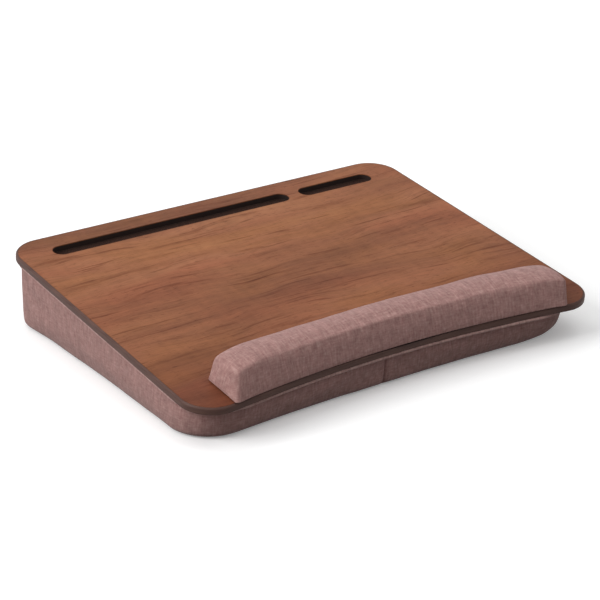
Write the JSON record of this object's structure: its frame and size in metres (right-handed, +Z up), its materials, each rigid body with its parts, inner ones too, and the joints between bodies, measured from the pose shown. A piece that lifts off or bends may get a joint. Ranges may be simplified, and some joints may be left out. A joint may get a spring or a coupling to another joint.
{
  "type": "lap desk",
  "caption": "Cushioned lap desk: a sloping walnut-look board with a tablet slot, a phone slot and a padded wrist rest, on a zipped foam wedge.",
  "frame": {"origin": "middle of the footprint of the whole desk, on the surface that the cushion rests on", "axes": "+X across the desk to the user's right, +Y away from the user, +Z up"},
  "size_m": [0.4, 0.3187, 0.0683],
  "materials": {
    "walnut_decor": "satin walnut-look decor sheet, grain across the desk",
    "board_black": "fibreboard painted black in the slots",
    "backing_sheet": "dark brown balancing sheet",
    "edging": "dark grey-brown rounded edging",
    "linen": "dusty mauve melange linen weave",
    "black_nonwoven": "black non-woven cloth",
    "foam": "cream cut foam",
    "stiffener": "thin brown fibreboard",
    "mounting_tape": "black foam mounting tape",
    "zip_cloth": "woven zip tape, mauve brown",
    "zip_plastic": "moulded zip teeth, mauve brown",
    "zip_metal": "gunmetal lacquered zinc"
  },
  "bodies": {
    "desk": {"board_core": "board_black", "top_laminate": "walnut_decor", "backing_laminate": "backing_sheet", "edge_band": "edging", "cushion_top_panel": "black_nonwoven", "top_piping": "linen", "gusset_left": "linen", "gusset_right": "linen", "back_gusset_upper": "linen", "back_gusset_lower": "linen", "bottom_panel": "linen", "foam_wedge": "foam", "zip_tape_upper": "zip_cloth", "zip_tape_lower": "zip_cloth", "zip_teeth_upper": "zip_plastic", "zip_teeth_lower": "zip_plastic", "zip_top_stops": "zip_metal", "zip_bottom_stop": "zip_metal", "wrist_rest_tape": "mounting_tape", "wrist_rest_base": "stiffener", "wrist_rest_foam": "foam", "wrist_rest_cover": "linen"},
    "slider": {"zip_slider": "zip_metal"},
    "pull": {"zip_pull": "zip_metal"}
  },
  "joints": [
    {"name": "zip_slide", "type": "slide", "parent": "desk", "child": "slider", "axis": [1, 0, 0], "range_m": [0, 0.29], "deforming": ["zip_teeth_upper", "zip_teeth_lower"]},
    {"name": "pull_pivot", "type": "hinge", "parent": "slider", "child": "pull", "pos_m": [-0.1524, 0.15639, 0.031], "axis": [0, 0, 1], "range_deg": [0, 175]}
  ]
}
